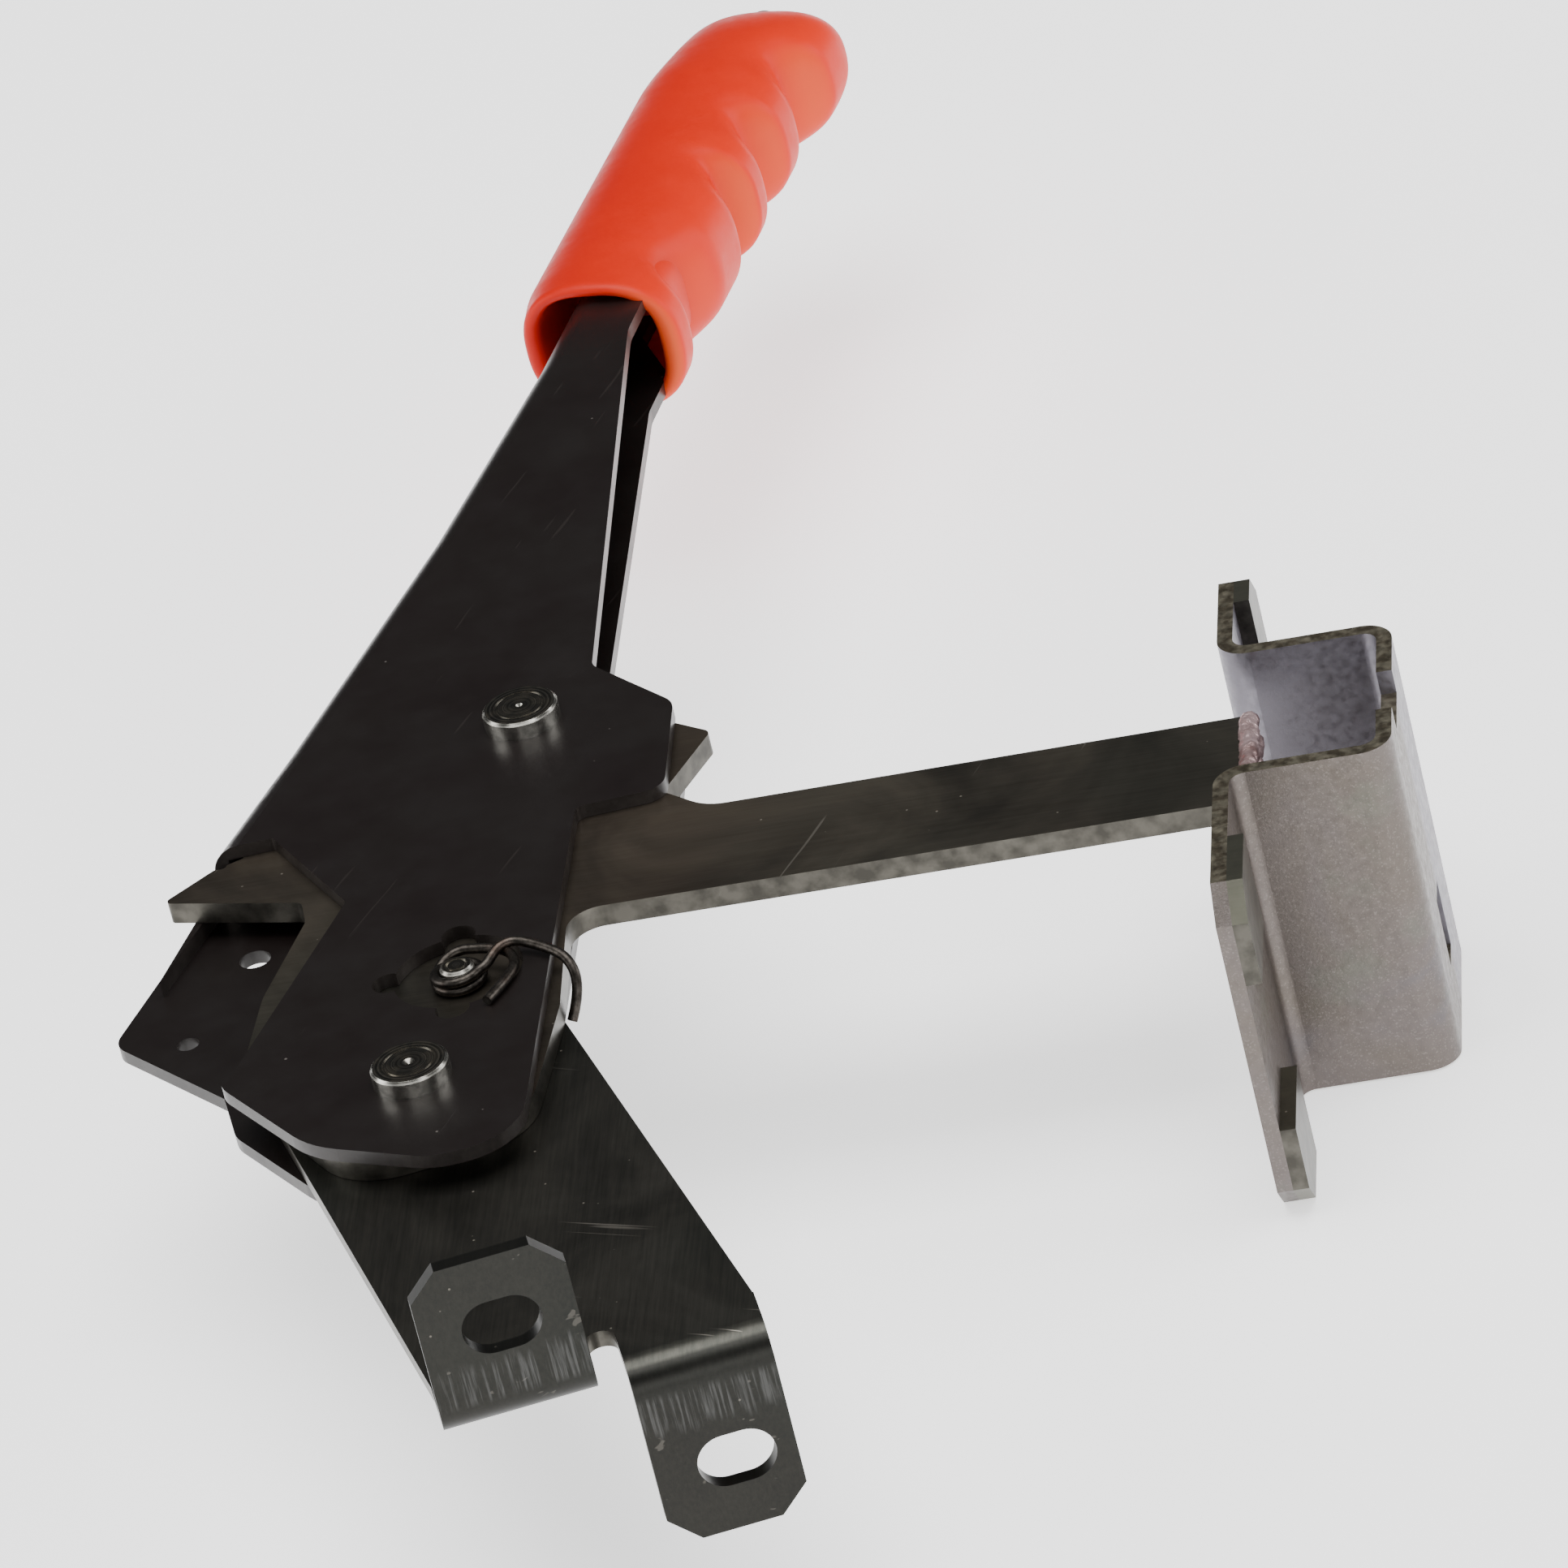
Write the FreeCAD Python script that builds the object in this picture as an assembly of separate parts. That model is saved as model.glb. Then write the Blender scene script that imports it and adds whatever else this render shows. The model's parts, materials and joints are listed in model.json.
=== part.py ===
"""Hand lever with a return spring: a riveted lever and arm that turn on a slotted mounting bracket.

The lever lies on its side. X and Y lie in the plane of its plates, with Y along the lever
towards the grip, and Z is the pivot's direction. Everything is modelled about the pivot axis
and moved at the end, so that the origin is the middle of the footprint.
"""

import FreeCAD, Part
import math
import os

V = FreeCAD.Vector
os.makedirs("parts", exist_ok=True)

# ---- driving dimensions, mm -------------------------------------------------------------
LEVER_SHEET = 2.5
ARM_THICKNESS = 4.0
BRACKET_SHEET = 3.0
HAT_SHEET = 2.75
PLATE_GAP = 0.075  # running gap between the arm plate and the mounting bracket
CHANNEL_HALF_GAP = 3.625  # inside of a lever flange from the middle plane, at the pivot
CHANNEL_HALF_GAP_GRIP = 7.6  # the same where the lever enters the grip
SPLAY_START_Y = 119.0
SPLAY_END_Y = 229.2
SPINE_BEND = 4.5  # outer radius of the lever's back

RIVET_R = 4.0
RIVET_HEAD_R = 6.75
RIVET_HEAD_T = 3.2
WASHER_R = 7.5
WASHER_T = 1.2
UPPER_RIVET = (37.6, 108.1)
BUSH_R = 6.0
BUSH_CLEARANCE = 0.05

SPRING_PIN = (12.8, 30.0)
SPRING_PIN_R = 3.0
SPRING_PIN_HEIGHT = 3.9
SPRING_STOP_R = 3.0
STOP_SLOT_CLEARANCE = 0.3
STROKE_DEG = 40.0  # travel of the lever from its stop
SPRING_HOLE_R = 11.3
SPRING_LOBE_R = 3.0
SPRING_LOBE_DEG = (80.0, 168.0, 256.0)
WIRE_R = 0.9
COIL_R = 4.1
COIL_TURNS = 2
COIL_OVERLAP = 0.1

BASE_Y = -98.5  # underside of the two mounting tabs
TAB_BEND = 3.0
NEAR_TAB_REACH = 28.2
FAR_TAB_REACH = 34.2
TAB_CHAMFER = 5.0
TAB_SLOT_LENGTH = 13.2
TAB_SLOT_WIDTH = 9.6
NEAR_SLOT = (1.0, 15.3)  # x, z of the slot in the tab on the +Z side
FAR_SLOT = (32.0, -21.2)

ARM_SLOPE_DEG = -13.3
HAT_MOUTH_U = 136.2  # along the arm from the pivot
HAT_DEPTH_U = 30.6
HAT_LOW_W = 48.2
HAT_HIGH_W = 91.1
HAT_UPPER_FLANGE = 28.2
HAT_LOWER_FLANGE = 39.9
HAT_NEAR_Z = 10.3
HAT_WIDTH = 64.0
PAD_WIDTH = 17.5
PAD_LOW_HEIGHT = 20.0
PAD_HIGH_HEIGHT = 12.8
CORNER_CHAMFER = 5.5

GRIP_TILT_DEG = 26.1  # grip axis from +Y towards +X
GRIP_MOUTH_T = 254.5
TONGUE_END_T = 335.0
TONGUE_START_T = 258.0
TONGUE_FRONT_N = -40.0
FIT_CLEARANCE = 0.15

FLANGE_OUT_Z = CHANNEL_HALF_GAP + LEVER_SHEET
ARM_TOP_Z = CHANNEL_HALF_GAP - 0.05
ARM_BOTTOM_Z = ARM_TOP_Z - ARM_THICKNESS
BRACKET_TOP_Z = ARM_BOTTOM_Z - PLATE_GAP
BRACKET_BOTTOM_Z = BRACKET_TOP_Z - BRACKET_SHEET
BIG = 400.0


# ---- outline and solid helpers ----------------------------------------------------------
def corner_arc(before, corner, after, radius):
    """Start, middle and end of the arc that rounds a corner of an outline."""
    a = (before - corner).normalize()
    b = (after - corner).normalize()
    half = a.getAngle(b) / 2
    reach = radius / math.tan(half)
    start = corner + a * reach
    end = corner + b * reach
    inward = (a + b).normalize()
    middle = corner + inward * (radius / math.sin(half) - radius)
    return start, middle, end


def outline(points):
    """A closed wire through (x, y) or (x, y, radius) points, with rounded corners."""
    corners = [V(p[0], p[1], 0) for p in points]
    radii = [p[2] if len(p) > 2 else 0 for p in points]
    pieces = []
    for i, corner in enumerate(corners):
        if radii[i]:
            following = corners[(i + 1) % len(corners)]
            pieces.append(corner_arc(corners[i - 1], corner, following, radii[i]))
        else:
            pieces.append((corner, None, corner))
    edges = []
    for i, (start, middle, end) in enumerate(pieces):
        if middle:
            edges.append(Part.Arc(start, middle, end).toShape())
        following = pieces[(i + 1) % len(pieces)][0]
        if end.distanceToPoint(following) > 1e-6:
            edges.append(Part.LineSegment(end, following).toShape())
    return Part.Wire(edges)


def plate(points, z_low, z_high):
    """A flat plate with the given outline between two heights."""
    face = Part.Face(outline(points))
    face.translate(V(0, 0, z_low))
    return face.extrude(V(0, 0, z_high - z_low))


def profile_along_x(points, x_low, x_high):
    """A solid whose (y, z) profile runs along X."""
    face = Part.Face(outline(points))
    turn = FreeCAD.Matrix(0, 0, 1, 0, 1, 0, 0, 0, 0, 1, 0, 0, 0, 0, 0, 1)
    solid = face.extrude(V(0, 0, x_high - x_low))
    solid.transformShape(turn)
    solid.translate(V(x_low, 0, 0))
    return solid


def cylinder(radius, x, y, z_low, z_high):
    return Part.makeCylinder(radius, z_high - z_low, V(x, y, z_low))


def box(x0, x1, y0, y1, z0, z1):
    return Part.makeBox(x1 - x0, y1 - y0, z1 - z0, V(x0, y0, z0))


def polar(centre, radius, degrees):
    angle = math.radians(degrees)
    return centre[0] + radius * math.cos(angle), centre[1] + radius * math.sin(angle)


def arm_frame(shape):
    """Turns a shape drawn along the arm, with u as X and w as Y, into place."""
    shape.rotate(V(0, 0, 0), V(0, 0, 1), ARM_SLOPE_DEG)
    return shape


def grip_point(t, n, z=0.0):
    """A point t along the grip's axis direction and n across it, towards the fingers."""
    tilt = math.radians(GRIP_TILT_DEG)
    x = n * math.cos(tilt) + t * math.sin(tilt)
    y = -n * math.sin(tilt) + t * math.cos(tilt)
    return V(x, y, z)


def edges_near(shape, test):
    """The edges of a shape whose middle passes a test."""
    found = []
    for edge in shape.Edges:
        middle = edge.valueAt((edge.FirstParameter + edge.LastParameter) / 2)
        if test(edge, middle):
            found.append(edge)
    return found


# ---- lever: pressed channel -------------------------------------------------------------
SPINE_FOOT = (-21.4, 93.6)
SPINE_BENDPOINT = (32.9, 179.2)
SPINE_TOP = (61.4, SPLAY_END_Y)


def tongue_corner(t, n):
    p = grip_point(t, n)
    return (p.x, p.y)


def slab(half_gap, half_gap_grip, y_low):
    """The space between two planes that open out towards the grip."""
    return [
        (y_low, -half_gap),
        (y_low, half_gap),
        (SPLAY_START_Y, half_gap),
        (SPLAY_END_Y, half_gap_grip),
        (BIG, half_gap_grip),
        (BIG, -half_gap_grip),
        (SPLAY_END_Y, -half_gap_grip),
        (SPLAY_START_Y, -half_gap),
    ]


def inward_from_spine(point, ahead, distance):
    """A point moved square to the spine, into the channel."""
    along = V(ahead[0] - point[0], ahead[1] - point[1], 0).normalize()
    return (point[0] + along.y * distance, point[1] - along.x * distance)


def flange_out_z(y):
    """Height of a lever flange's outer face above the middle plane, at a distance up the lever."""
    share = min(max((y - SPLAY_START_Y) / (SPLAY_END_Y - SPLAY_START_Y), 0), 1)
    return FLANGE_OUT_Z + share * (CHANNEL_HALF_GAP_GRIP - CHANNEL_HALF_GAP)


def rounding_profile(stop, along, side):
    """The waste outside the lever's rounded back at one place along it, as a closed wire."""
    over = 0.5
    down = V(0, 0, -side)
    inward = V(along.y, -along.x, 0)
    edge = V(stop.x, stop.y, side * flange_out_z(stop.y))
    low = edge + down * SPINE_BEND
    high = edge + inward * SPINE_BEND
    high.z = side * flange_out_z(high.y)
    centre = high + down * SPINE_BEND
    middle = centre - (down + inward) * (SPINE_BEND / math.sqrt(2))
    outer = [high - down * over, edge - (down + inward) * over, low - inward * over]
    lines = [high] + outer + [low]
    edges = [Part.LineSegment(p, q).toShape() for p, q in zip(lines, lines[1:])]
    edges.append(Part.Arc(low, middle, high).toShape())
    return Part.Wire(edges)


def spine_rounding(side):
    """The cutter that rounds one outer edge of the lever's back, from the beak into the grip."""
    foot, bend = V(*SPINE_FOOT), V(*SPINE_BENDPOINT)
    first_run = (bend - foot).normalize()
    splay_y = SPLAY_START_Y + SPINE_BEND * first_run.x
    kink = foot + first_run * ((splay_y - foot.y) / first_run.y)
    stops = [foot, kink, bend, V(*SPINE_TOP), V(*tongue_corner(TONGUE_END_T, -47.0))]
    runs = [(q - p).normalize() for p, q in zip(stops, stops[1:])]
    stops[0] = stops[0] - runs[0]
    stops[-1] = stops[-1] + runs[-1]
    before = [runs[0]] + runs
    after = runs + [runs[-1]]
    profiles = []
    for stop, one, other in zip(stops, before, after):
        profiles.append(rounding_profile(stop, (one + other).normalize(), side))
    return Part.makeLoft(profiles, True, True)


def lever_channel():
    blank = [
        SPINE_FOOT,
        SPINE_BENDPOINT,
        SPINE_TOP,
        tongue_corner(TONGUE_END_T, -47.0),
        tongue_corner(TONGUE_END_T, TONGUE_FRONT_N),
        tongue_corner(TONGUE_START_T + 14, TONGUE_FRONT_N),
        tongue_corner(TONGUE_START_T, -31.0),
        tongue_corner(244.0, -30.7) + (12.0,),
        (52.3, 120.6, 3.0),
        (63.4, 100.0, 6.0),
        (56.6, 71.6, 4.0),
        (41.0, 73.4, 2.0),
        (13.8, -28.0, 12.0),
        (-1.5, -26.5, 13.0),
        (-20.0, -12.5, 20.0),
        (-31.0, 13.5, 8.0),
        (-31.0, 27.0),
        (-46.5, 54.5, 5.0),
        (-27.0, 86.2, 3.0),
    ]
    outer = plate(blank, -40, 40)
    width = slab(FLANGE_OUT_Z, CHANNEL_HALF_GAP_GRIP + LEVER_SHEET, -60)
    outer = outer.common(profile_along_x(width, -80, 180))
    for side in (-1, 1):
        outer = outer.cut(spine_rounding(side))
    inside = [
        inward_from_spine(SPINE_FOOT, SPINE_BENDPOINT, LEVER_SHEET),
        inward_from_spine(SPINE_BENDPOINT, SPINE_TOP, LEVER_SHEET),
        inward_from_spine(SPINE_TOP, tongue_corner(TONGUE_END_T, -47.0), LEVER_SHEET),
        tongue_corner(TONGUE_END_T + 10, -44.3),
        (BIG, BIG),
        (BIG, -60),
        (-80, -60),
        (-80, 66),
        (-36, 66),
    ]
    hollow = plate(inside, -40, 40)
    gap = slab(CHANNEL_HALF_GAP, CHANNEL_HALF_GAP_GRIP, -61)
    hollow = hollow.common(profile_along_x(gap, -90, 190))
    channel = outer.cut(hollow)
    # Only the far flange keeps the ear. The near one is cut back beside the arm's beak.
    beak_window = [(-60, 13.0), (-31.0, 13.5, 6.0), (-1.6, 63.5, 1.5), (-10.3, 92.2, 1.0)]
    beak_window += [SPINE_FOOT, (-30.0, 98.0), (-60, 98.0)]
    channel = channel.cut(plate(beak_window, ARM_BOTTOM_Z - PLATE_GAP, 20))
    foot_window = [(-60, 66), (-36, 66), (-24.2, 88.0), (-20.6, 88.6), (-18.6, 95.0), (-60, 110)]
    channel = channel.cut(plate(foot_window, -CHANNEL_HALF_GAP, 0.01))
    for x, y in ((0, 0), UPPER_RIVET):
        channel = channel.cut(cylinder(RIVET_R, x, y, -20, 20))
    channel = channel.cut(cylinder(SPRING_HOLE_R, *SPRING_PIN, 0, 20))
    for degrees in SPRING_LOBE_DEG:
        x, y = polar(SPRING_PIN, SPRING_HOLE_R + 0.6, degrees)
        channel = channel.cut(cylinder(SPRING_LOBE_R, x, y, 0, 20))
    for x, y, radius in ((-19.1, 70.0, 2.8), (-34.3, 48.2, 2.0)):
        channel = channel.cut(cylinder(radius, x, y, -20, 0))
    return channel


# ---- arm plate --------------------------------------------------------------------------
def arm_point(u, w):
    angle = math.radians(ARM_SLOPE_DEG)
    return (u * math.cos(angle) - w * math.sin(angle), u * math.sin(angle) + w * math.cos(angle))


def arm_plate():
    reach_u = HAT_MOUTH_U + 5.0
    shape = [
        (-31.8, 85.0, 1.0),
        (-21.8, 91.2, 1.0),
        (-16.2, 92.6),
        (-14.2, 95.2),
        (2.2, 121.5, 3.0),
        (42.0, 121.5, 4.0),
        (67.9, 90.6, 1.8),
        (56.4, 74.6, 0.8),
        (62.5, 65.8, 9.0),
        arm_point(reach_u, 78.8) + (1.0,),
        arm_point(reach_u, HAT_LOW_W + HAT_SHEET),
        arm_point(HAT_MOUTH_U - 0.4, HAT_LOW_W + HAT_SHEET),
        arm_point(HAT_MOUTH_U - 0.4, 50.4),
        (33.9, 43.9, 6.0),
        (27.4, 14.0, 20.0),
        (16.0, -19.0, 13.0),
        (-15.0, -19.0, 13.0),
        (-24.2, 6.0, 12.0),
        (-25.4, 27.0, 10.0),
        (-20.0, 43.8, 20.0),
        (-9.2, 65.0, 3.0),
        (-8.8, 71.9, 1.5),
    ]
    arm = plate(shape, ARM_BOTTOM_Z, ARM_TOP_Z)
    arm = arm.cut(cylinder(1.2, -20.3, 92.2, -20, 20))
    for x, y in ((0, 0), UPPER_RIVET, SPRING_PIN):
        arm = arm.cut(cylinder(RIVET_R, x, y, -20, 20))
    return arm


# ---- rivets, bush, spacer, spring pin ---------------------------------------------------
def rivet(x, y, dimple_r):
    """A flat-headed shoulder rivet, closed by a low dome over a washer on the far side."""
    head_z = FLANGE_OUT_Z
    top = head_z + RIVET_HEAD_T
    head = cylinder(RIVET_HEAD_R, x, y, head_z, top)
    rim = edges_near(head, lambda edge, middle: abs(middle.z - top) < 1e-6)
    head = head.makeChamfer(0.5, rim)
    ring = cylinder(4.6, x, y, top - 0.25, top + 1).cut(cylinder(4.1, x, y, top - 1, top + 2))
    dimple = Part.makeCone(0.2, dimple_r, 0.7, V(x, y, top - 0.6))
    head = head.cut(ring).cut(dimple)
    shank = cylinder(RIVET_R, x, y, -FLANGE_OUT_Z - WASHER_T, head_z)
    tail_z = -FLANGE_OUT_Z - WASHER_T
    tail = cylinder(RIVET_HEAD_R - 0.75, x, y, tail_z - 2.4, tail_z)
    end = edges_near(tail, lambda edge, middle: abs(middle.z - tail_z + 2.4) < 1e-6)
    tail = tail.makeFillet(1.8, end)
    return shank.fuse(head).fuse(tail).removeSplitter()


def ring(x, y, outer, inner, z_low, z_high):
    return cylinder(outer, x, y, z_low, z_high).cut(cylinder(inner, x, y, z_low, z_high))


def spring_pin():
    """Pin through the arm plate; its tail runs in the bracket's stop slot."""
    x, y = SPRING_PIN
    top = ARM_TOP_Z + SPRING_PIN_HEIGHT
    body = cylinder(SPRING_PIN_R, x, y, ARM_TOP_Z, top)
    rim = edges_near(body, lambda edge, middle: abs(middle.z - top) < 1e-6)
    body = body.makeChamfer(0.5, rim)
    body = body.cut(ring(x, y, 2.0, 1.5, top - 0.3, top + 0.1))
    shank = cylinder(RIVET_R, x, y, ARM_BOTTOM_Z, ARM_TOP_Z)
    tail = cylinder(SPRING_STOP_R, x, y, BRACKET_BOTTOM_Z + 0.1, ARM_BOTTOM_Z)
    return body.fuse(shank).fuse(tail).removeSplitter()


def wire_run(points):
    """Round wire through points, with a ball at each turn and plain cut ends."""
    wire = None
    for a, b in zip(points, points[1:]):
        start = V(*a)
        along = V(*b) - start
        piece = Part.makeCylinder(WIRE_R, along.Length, start, along)
        if b != points[-1]:
            piece = piece.fuse(Part.makeSphere(WIRE_R, V(*b), along))
        wire = wire.fuse(piece) if wire else piece
    return wire


def torsion_spring():
    """Closed coils round the pin, a leg hooked behind the bracket and a leg over the hole's rim."""
    x, y = SPRING_PIN
    pitch = 2 * WIRE_R - COIL_OVERLAP
    low = ARM_TOP_Z + WIRE_R + 0.05
    high = low + (COIL_TURNS - 1) * pitch
    over_rim = FLANGE_OUT_Z + WIRE_R + 0.1
    coils = [Part.makeTorus(COIL_R, WIRE_R, V(x, y, low + i * pitch)) for i in range(COIL_TURNS)]
    hook = [
        polar(SPRING_PIN, COIL_R, 290.0) + (high,),
        (17.5, 27.5, high + 0.8),
        (20.0, 30.5, over_rim + 0.2),
        (23.2, 31.2, over_rim + 0.3),
        (26.3, 28.8, over_rim + 0.3),
        (28.8, 26.0, over_rim + 0.1),
        (31.4, 22.5, over_rim - 0.2),
        (31.6, 19.5, 2.8),
        (28.9, 17.4, -2.0),
    ]
    rest = [
        polar(SPRING_PIN, COIL_R, 60.0) + (high,),
        polar(SPRING_PIN, COIL_R + 2.2, 25.0) + (over_rim,),
        (23.0, 27.0, over_rim),
        (20.7, 21.6, over_rim),
        (15.8, 16.1, over_rim),
    ]
    spring = wire_run(hook).fuse(wire_run(rest))
    for coil in coils:
        spring = spring.fuse(coil)
    return spring


# ---- mounting bracket -------------------------------------------------------------------
def tab_profile(reach, side):
    """The (y, z) profile of a tab bent square to the plate, towards +Z or -Z."""
    inner = BRACKET_TOP_Z if side > 0 else BRACKET_BOTTOM_Z
    outer = BRACKET_BOTTOM_Z if side > 0 else BRACKET_TOP_Z
    top_y = BASE_Y + 14.0
    return [
        (top_y, outer),
        (BASE_Y, outer, TAB_BEND + BRACKET_SHEET),
        (BASE_Y, side * reach),
        (BASE_Y + BRACKET_SHEET, side * reach),
        (BASE_Y + BRACKET_SHEET, inner, TAB_BEND),
        (top_y, inner),
    ]


def tab_slot(x, z):
    """The cutter of a slot through a tab, running along X."""
    radius = TAB_SLOT_WIDTH / 2
    half = TAB_SLOT_LENGTH / 2 - radius
    low = BASE_Y - 5
    cutter = box(x - half, x + half, low, low + 15, z - radius, z + radius)
    for end in (x - half, x + half):
        cutter = cutter.fuse(Part.makeCylinder(radius, 15, V(end, low, z), V(0, 1, 0)))
    return cutter


def tab_corners(x_low, x_high, z_end, side):
    """The cutters that chamfer the two outer corners of a tab."""
    cutters = []
    for x, way in ((x_low, 1), (x_high, -1)):
        a = V(x - way, BASE_Y - 5, z_end + side)
        b = V(x + way * TAB_CHAMFER, BASE_Y - 5, z_end + side)
        c = V(x - way, BASE_Y - 5, z_end - side * TAB_CHAMFER)
        b2 = V(x + way * TAB_CHAMFER, BASE_Y - 5, z_end)
        d = V(x, BASE_Y - 5, z_end - side * TAB_CHAMFER)
        wire = Part.makePolygon([a, b, b2, d, c, a])
        cutters.append(Part.Face(wire).extrude(V(0, 15, 0)))
    return cutters


def stop_slot():
    """The curved slot that the spring pin's tail runs in."""
    centre_r = math.hypot(*SPRING_PIN)
    half = SPRING_STOP_R + STOP_SLOT_CLEARANCE
    first = math.degrees(math.atan2(SPRING_PIN[1], SPRING_PIN[0])) - 0.4
    last = first + STROKE_DEG + 0.8
    sweep = last - first
    outer = Part.makeCylinder(centre_r + half, 20, V(0, 0, -10), V(0, 0, 1), sweep)
    inner = Part.makeCylinder(centre_r - half, 20, V(0, 0, -10), V(0, 0, 1), 360)
    slot = outer.cut(inner)
    slot.rotate(V(0, 0, 0), V(0, 0, 1), first)
    for degrees in (first, last):
        x, y = polar((0, 0), centre_r, degrees)
        slot = slot.fuse(cylinder(half, x, y, -10, 10))
    return slot


def mounting_bracket():
    body = [
        (28.9, 6.0, 8.0),
        (26.6, 22.0, 6.0),
        (22.5, 33.0),
        (12.0, 48.0),
        (-14.0, 48.0),
        (-22.5, 30.0),
        (-24.0, 10.0, 10.0),
        (-12.4, BASE_Y + 13),
        (13.4, BASE_Y + 13),
        (13.4, BASE_Y + 15.4, 2.45),
        (18.4, BASE_Y + 15.4, 2.45),
        (18.4, BASE_Y + 13),
        (41.9, BASE_Y + 13),
    ]
    main = plate(body, BRACKET_BOTTOM_Z, BRACKET_TOP_Z)
    head_round = cylinder(40.5, 0, 0, -20, 20).fuse(box(-60, 60, BASE_Y - 5, 0, -20, 20))
    main = main.common(head_round)
    near_tab = profile_along_x(tab_profile(NEAR_TAB_REACH, 1), -12.4, 13.4)
    far_tab = profile_along_x(tab_profile(FAR_TAB_REACH, -1), 18.4, 41.9)
    for cutter in tab_corners(-12.4, 13.4, NEAR_TAB_REACH, 1):
        near_tab = near_tab.cut(cutter)
    for cutter in tab_corners(18.4, 41.9, -FAR_TAB_REACH, -1):
        far_tab = far_tab.cut(cutter)
    near_tab = near_tab.cut(tab_slot(*NEAR_SLOT))
    far_tab = far_tab.cut(tab_slot(*FAR_SLOT))
    bracket = main.fuse(near_tab).fuse(far_tab)
    bracket = bracket.cut(cylinder(BUSH_R + BUSH_CLEARANCE, 0, 0, -20, 20))
    bracket = bracket.cut(stop_slot())
    return bracket.removeSplitter()


# ---- hat bracket, pads and welds at the end of the arm ----------------------------------
def hat_corner_cutter(u, w, way_w, z, way_z, thickness=HAT_SHEET):
    """Cuts a corner off a flange or pad whose plane is square to the arm."""
    c = CORNER_CHAMFER
    a = V(u - 1, w, z - way_z * c)
    b = V(u - 1, w - way_w * c, z)
    d = V(u - 1, w - way_w * c, z + way_z)
    e = V(u - 1, w + way_w, z + way_z)
    f = V(u - 1, w + way_w, z - way_z * c)
    wire = Part.makePolygon([a, b, d, e, f, a])
    return Part.Face(wire).extrude(V(thickness + 2, 0, 0))


def hat_bracket():
    s = HAT_SHEET
    mouth = HAT_MOUTH_U
    crown = HAT_MOUTH_U + HAT_DEPTH_U
    top = HAT_HIGH_W + HAT_UPPER_FLANGE
    bottom = HAT_LOW_W - HAT_LOWER_FLANGE
    profile = [
        (mouth, top),
        (mouth + s, top),
        (mouth + s, HAT_HIGH_W, s),
        (crown, HAT_HIGH_W, 2 * s),
        (crown, HAT_LOW_W, 2 * s),
        (mouth + s, HAT_LOW_W, s),
        (mouth + s, bottom),
        (mouth, bottom),
        (mouth, HAT_LOW_W + s, 2 * s),
        (crown - s, HAT_LOW_W + s, s),
        (crown - s, HAT_HIGH_W - s, s),
        (mouth, HAT_HIGH_W - s, 2 * s),
    ]
    far_z = HAT_NEAR_Z - HAT_WIDTH
    hat = plate(profile, far_z, HAT_NEAR_Z)
    for w, way_w in ((top, 1), (bottom, -1)):
        for z, way_z in ((HAT_NEAR_Z, 1), (far_z, -1)):
            hat = hat.cut(hat_corner_cutter(mouth, w, way_w, z, way_z))
    hat = hat.cut(box(crown - 2 * s, crown + 1, 62.0, 74.5, HAT_NEAR_Z - 4.5, HAT_NEAR_Z + 1))
    hat = hat.cut(box(crown - 2 * s, crown + 1, 65.0, 72.0, far_z + 10, far_z + 23))
    return arm_frame(hat)


def pad(upper, near):
    """A small stiffening plate on the inner side of a hat flange, at one end of it."""
    u = HAT_MOUTH_U + HAT_SHEET
    if upper:
        w_high = HAT_HIGH_W + HAT_UPPER_FLANGE
        w_low = w_high - PAD_HIGH_HEIGHT
    else:
        w_low = HAT_LOW_W - HAT_LOWER_FLANGE
        w_high = w_low + PAD_LOW_HEIGHT
    far_z = HAT_NEAR_Z - HAT_WIDTH
    z_low = HAT_NEAR_Z - PAD_WIDTH if near else far_z
    solid = box(u, u + HAT_SHEET, w_low, w_high, z_low, z_low + PAD_WIDTH)
    w, way_w = (w_high, 1) if upper else (w_low, -1)
    z, way_z = (HAT_NEAR_Z, 1) if near else (far_z, -1)
    return arm_frame(solid.cut(hat_corner_cutter(u, w, way_w, z, way_z)))


def weld_bead(arm, hat):
    """Fillet welds between the arm's end and the hat bracket, one on each face of the arm."""
    beads = []
    low = HAT_LOW_W + HAT_SHEET
    for z in (ARM_TOP_Z, ARM_BOTTOM_Z):
        seam = Part.makeCylinder(1.7, 5.4, V(HAT_MOUTH_U - 0.6, low + 0.2, z), V(1, 0, 0))
        cap = Part.makeCylinder(1.9, 25.0, V(HAT_MOUTH_U + 4.6, low + 1.6, z), V(0, 1, 0))
        bead = arm_frame(seam.fuse(cap))
        beads.append(bead.cut(arm).cut(hat))
    return Part.makeCompound([solid for bead in beads for solid in bead.Solids])


# ---- grip -------------------------------------------------------------------------------
# Stations along the grip: distance t, back edge, finger edge and half thickness.
GRIP_STATIONS = (
    (254.5, -56.0, -27.4, 13.2),
    (257.5, -57.4, -26.2, 13.9),
    (262.0, -57.5, -26.0, 14.0),
    (268.5, -57.5, -30.4, 13.8),
    (281.0, -57.5, -28.2, 14.0),
    (293.5, -57.5, -25.6, 14.0),
    (304.0, -57.5, -30.8, 13.6),
    (312.5, -57.5, -25.6, 13.9),
    (322.5, -57.4, -30.8, 13.4),
    (335.5, -57.2, -25.6, 13.5),
    (345.5, -56.6, -30.0, 12.8),
    (359.5, -55.0, -22.8, 11.0),
    (365.0, -53.6, -23.2, 9.4),
    (370.0, -51.6, -25.6, 7.2),
    (373.0, -49.4, -30.0, 5.4),
    (374.2, -48.2, -34.5, 4.4),
)
GRIP_SQUARENESS = 2.8  # exponent of the oval sections; 2 would be an ellipse
GRIP_SECTION_POINTS = 24
PLUG_N = -43.2
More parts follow.
